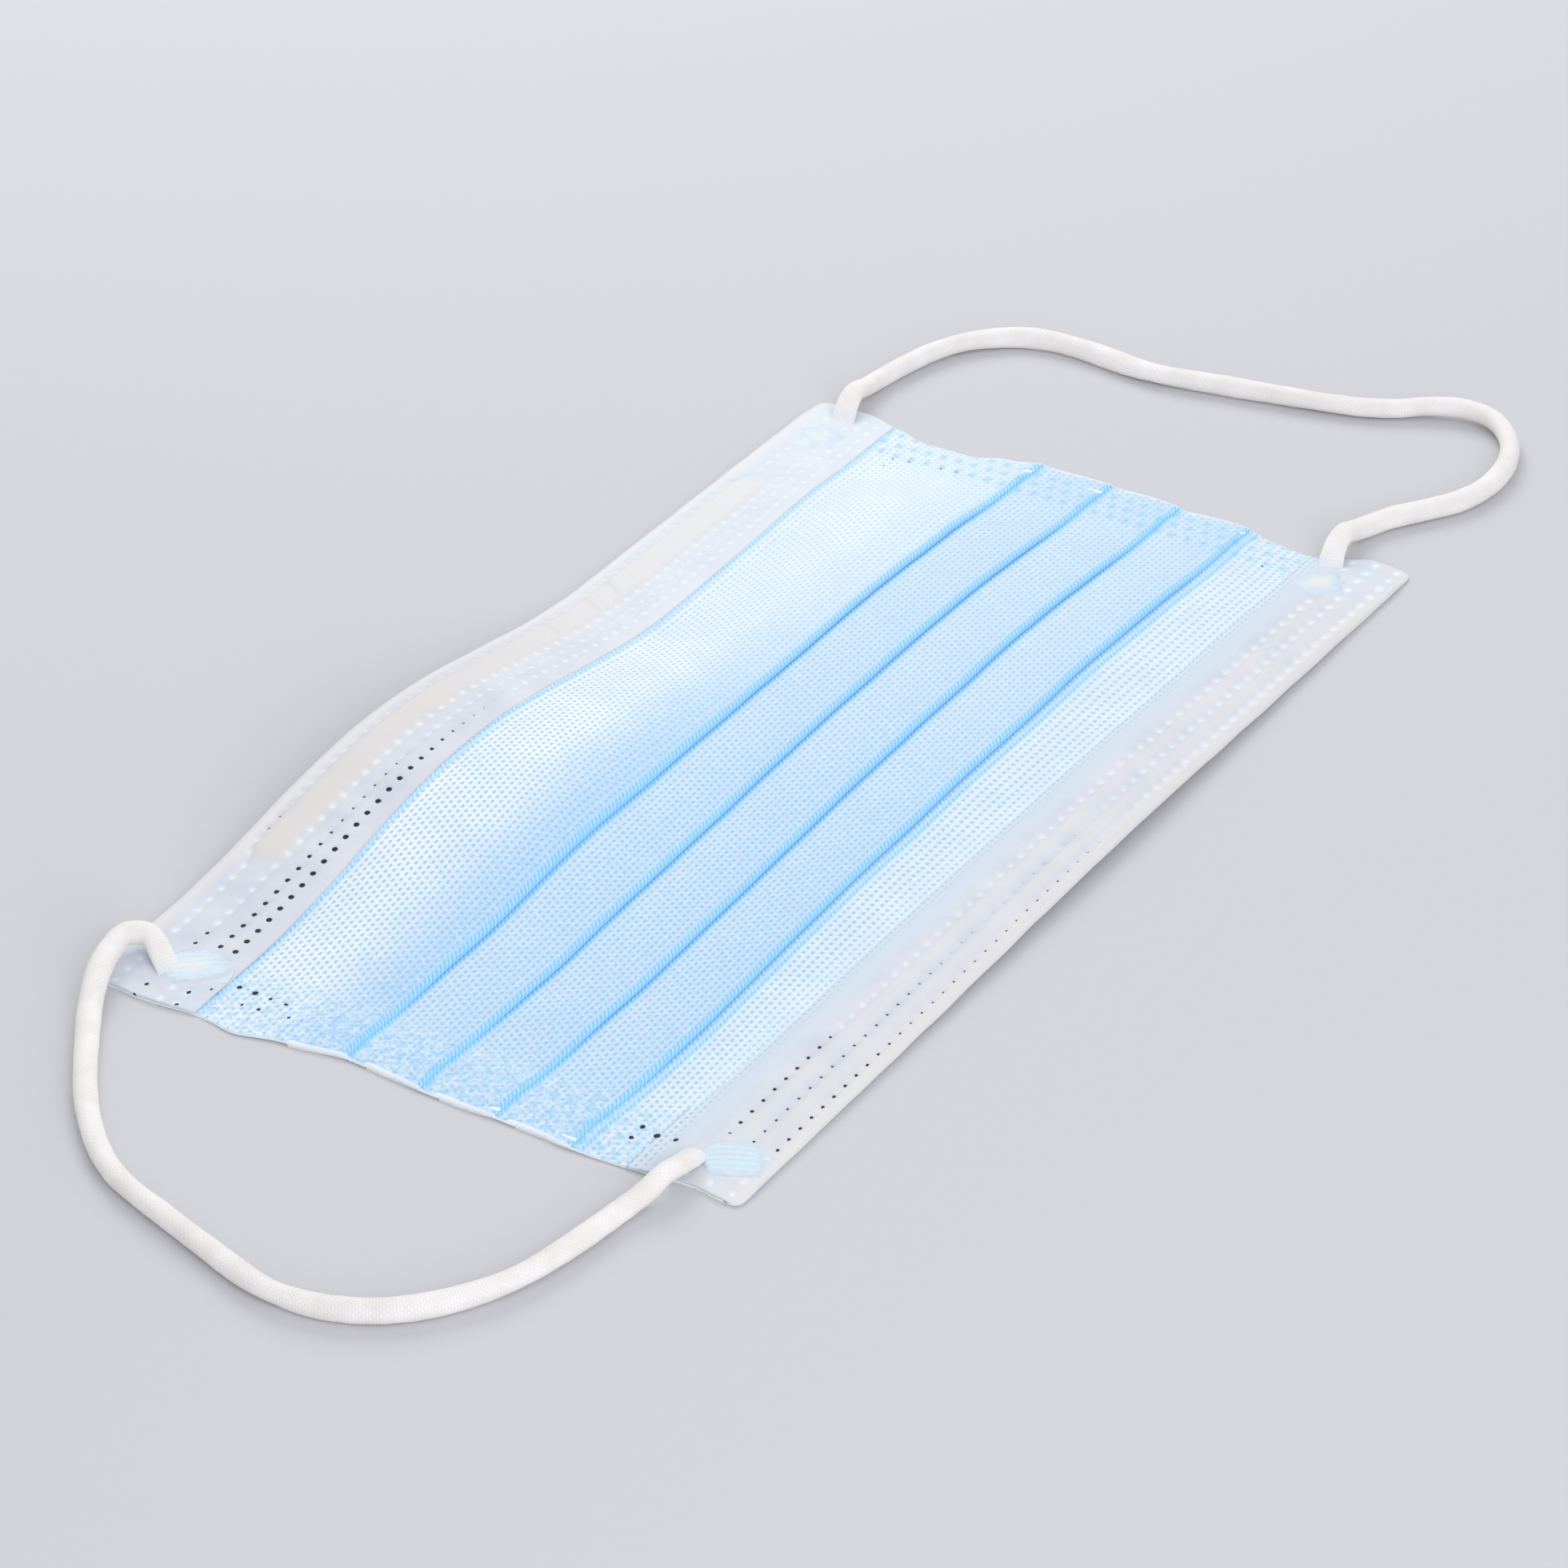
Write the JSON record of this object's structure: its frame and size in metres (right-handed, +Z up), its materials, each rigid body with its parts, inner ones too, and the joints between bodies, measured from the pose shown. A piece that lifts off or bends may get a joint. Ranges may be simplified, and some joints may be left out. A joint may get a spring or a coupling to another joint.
{
  "type": "surgical face mask",
  "caption": "Pleated nonwoven ear-loop face mask lying flat, blue outer face up, nose edge arched by its bent wire.",
  "frame": {"origin": "on the surface the mask lies on, under the middle of the mask without its ear loops", "axes": "+Z up, out of the blue face; X along the long edges; +Y towards the nose edge"},
  "size_m": [0.2653, 0.0954, 0.0093],
  "materials": {
    "blue_nonwoven": "matt spunbond nonwoven, point-bonded",
    "white_nonwoven": "matt spunbond nonwoven, smooth",
    "coated_wire": "matt plastic coated strip",
    "elastic": "matt knitted round elastic",
    "melted_elastic": "pressed and melted, slight shine"
  },
  "bodies": {
    "root": {"pleated_body": "blue_nonwoven", "nose_hem": "white_nonwoven", "chin_hem": "white_nonwoven", "nose_wire": "coated_wire", "ear_loop_near": "elastic", "ear_loop_far": "elastic", "loop_weld_near_nose": "melted_elastic", "loop_weld_near_chin": "melted_elastic", "loop_weld_far_nose": "melted_elastic", "loop_weld_far_chin": "melted_elastic"}
  },
  "joints": []
}
